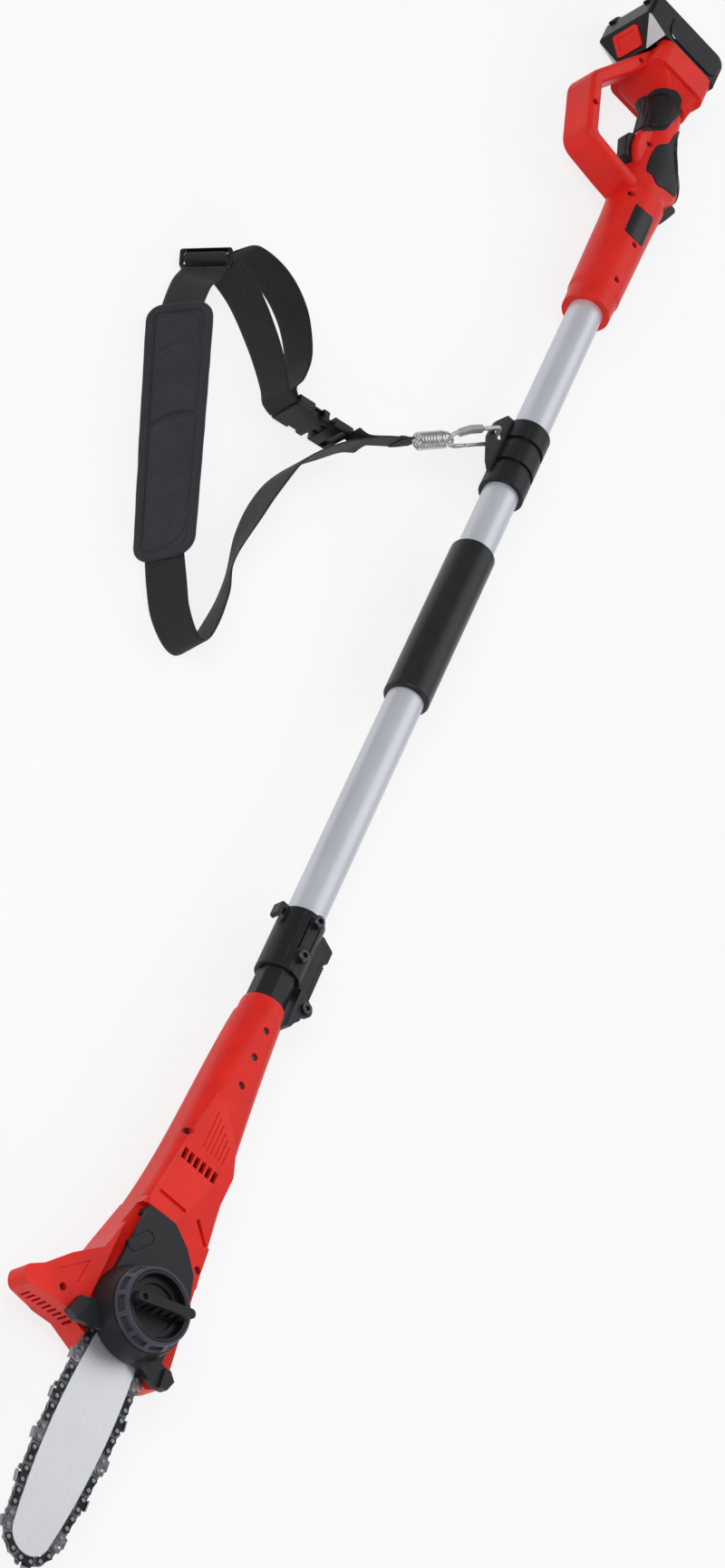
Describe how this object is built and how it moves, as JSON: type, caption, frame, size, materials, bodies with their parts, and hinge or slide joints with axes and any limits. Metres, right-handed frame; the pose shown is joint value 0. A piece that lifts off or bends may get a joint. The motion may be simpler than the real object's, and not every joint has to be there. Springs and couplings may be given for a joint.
{
  "type": "telescoping pole saw",
  "caption": "Battery pole saw with a telescoping tube, looped rear grip, clamp lever, chain bar with a clamp knob, and a sprung shoulder strap.",
  "frame": {"origin": "on the pole's axis, midway along the bare outer tube between the foam sleeve and the lock collar", "axes": "+X along the pole to the saw, +Y the tool's upper side in use, +Z its right side, up as it lies"},
  "size_m": [1.8041, 0.4303, 0.0985],
  "materials": {
    "red_plastic": "satin moulded",
    "black_plastic": "fine textured",
    "grey_plastic": "fine textured",
    "soft_grip": "matt",
    "foam": "closed cell",
    "tube_aluminium": "satin anodised",
    "steel": "plain",
    "bar_paint": "satin",
    "chain_steel": "oiled",
    "chrome_wire": "polished",
    "brass": "plain",
    "webbing": "woven",
    "pad_cloth": "woven cover"
  },
  "bodies": {
    "pole": {"outer_tube": "tube_aluminium", "foam_sleeve": "foam", "strap_bracket": "black_plastic", "handle_shell_right": "red_plastic", "handle_shell_left": "red_plastic", "handle_screws": "steel", "grip_pad_rear": "soft_grip", "grip_pad_back": "soft_grip", "switch_module": "black_plastic", "battery_terminals": "brass", "lock_collar": "black_plastic", "lock_bolts": "steel", "lever_pin": "steel"},
    "trigger": {"trigger": "black_plastic"},
    "lock_off": {"lock_off_button": "black_plastic"},
    "battery": {"battery_case": "black_plastic"},
    "latch": {"battery_latch": "red_plastic"},
    "lever": {"lock_lever": "black_plastic"},
    "head": {"inner_tube": "tube_aluminium", "guide_bush": "black_plastic", "neck_sleeve": "black_plastic", "head_shell_right": "red_plastic", "head_shell_left": "red_plastic", "head_screws": "steel", "motor_can": "steel", "bar_stud": "steel", "sprocket_cover": "grey_plastic"},
    "rotor": {"rotor_shaft": "steel", "pinion": "steel"},
    "drive": {"spindle": "steel", "drive_gear": "steel", "sprocket": "steel"},
    "bar": {"guide_bar": "bar_paint", "chain_drive_links": "chain_steel", "chain_straps": "chain_steel", "chain_cutters": "chain_steel"},
    "ring": {"tension_ring": "grey_plastic"},
    "knob": {"clamp_knob": "black_plastic"},
    "strap": {"carabiner_body": "chrome_wire", "carabiner_ring": "chrome_wire", "coil_spring": "chrome_wire", "strap_ring": "chrome_wire", "web_tail": "webbing", "buckle_tongue": "black_plastic", "buckle_socket": "black_plastic", "web_inner": "webbing", "web_outer": "webbing", "strap_slider": "black_plastic", "web_upper": "webbing", "shoulder_pad": "pad_cloth", "web_lower": "webbing"},
    "gate": {"carabiner_gate": "chrome_wire"}
  },
  "joints": [
    {"name": "telescope", "type": "slide", "parent": "pole", "child": "head", "axis": [1, 0, 0], "range_m": [0, 0.6]},
    {"name": "trigger_pull", "type": "slide", "parent": "pole", "child": "trigger", "axis": [0, 1, 0], "range_m": [0, 0.006], "stiffness_N_per_m": 800, "springref_m": -0.003},
    {"name": "lock_off_press", "type": "slide", "parent": "pole", "child": "lock_off", "axis": [0, -1, 0], "range_m": [0, 0.003], "stiffness_N_per_m": 800, "springref_m": -0.002},
    {"name": "battery_slide", "type": "slide", "parent": "pole", "child": "battery", "axis": [0, -1, 0], "range_m": [0, 0.11]},
    {"name": "latch_press", "type": "slide", "parent": "battery", "child": "latch", "axis": [-0.7071, 0.7071, 0], "range_m": [0, 0.003], "stiffness_N_per_m": 1000, "springref_m": -0.002},
    {"name": "lever_flip", "type": "hinge", "parent": "pole", "child": "lever", "pos_m": [0.213, 0.032, 0], "axis": [0, 0, -1], "range_deg": [0, 100]},
    {"name": "drive_spin", "type": "hinge", "parent": "head", "child": "drive", "pos_m": [0.509, 0, 0], "axis": [0, 0, 1], "continuous": true},
    {"name": "rotor_spin", "type": "hinge", "parent": "head", "child": "rotor", "pos_m": [0.47713, 0, 0], "axis": [0, 0, 1], "continuous": true},
    {"name": "ring_turn", "type": "hinge", "parent": "head", "child": "ring", "pos_m": [0.5595, 0, 0], "axis": [0, 0, 1], "range_deg": [0, 122]},
    {"name": "bar_tension", "type": "slide", "parent": "head", "child": "bar", "axis": [-1, 0, 0], "range_m": [0, 0.003]},
    {"name": "knob_turn", "type": "hinge", "parent": "head", "child": "knob", "pos_m": [0.5595, 0, 0], "axis": [0, 0, 1], "continuous": true},
    {"name": "strap_swing", "type": "hinge", "parent": "pole", "child": "strap", "pos_m": [-0.43969, -0.0302, 0], "axis": [0, 0, 1], "range_deg": [-45, 4]},
    {"name": "gate_open", "type": "hinge", "parent": "strap", "child": "gate", "pos_m": [-0.4094, -0.0519, -0.00943], "axis": [0.6111, 0.6693, 0.4226], "range_deg": [0, 22], "stiffness_Nm_per_rad": 0.05, "springref_deg": -5.73}
  ],
  "couplings": [
    {"joint": "rotor_spin", "follows": "drive_spin", "ratio": -2.4},
    {"joint": "ring_turn", "follows": "bar_tension", "rad_per_m": 698.13}
  ]
}
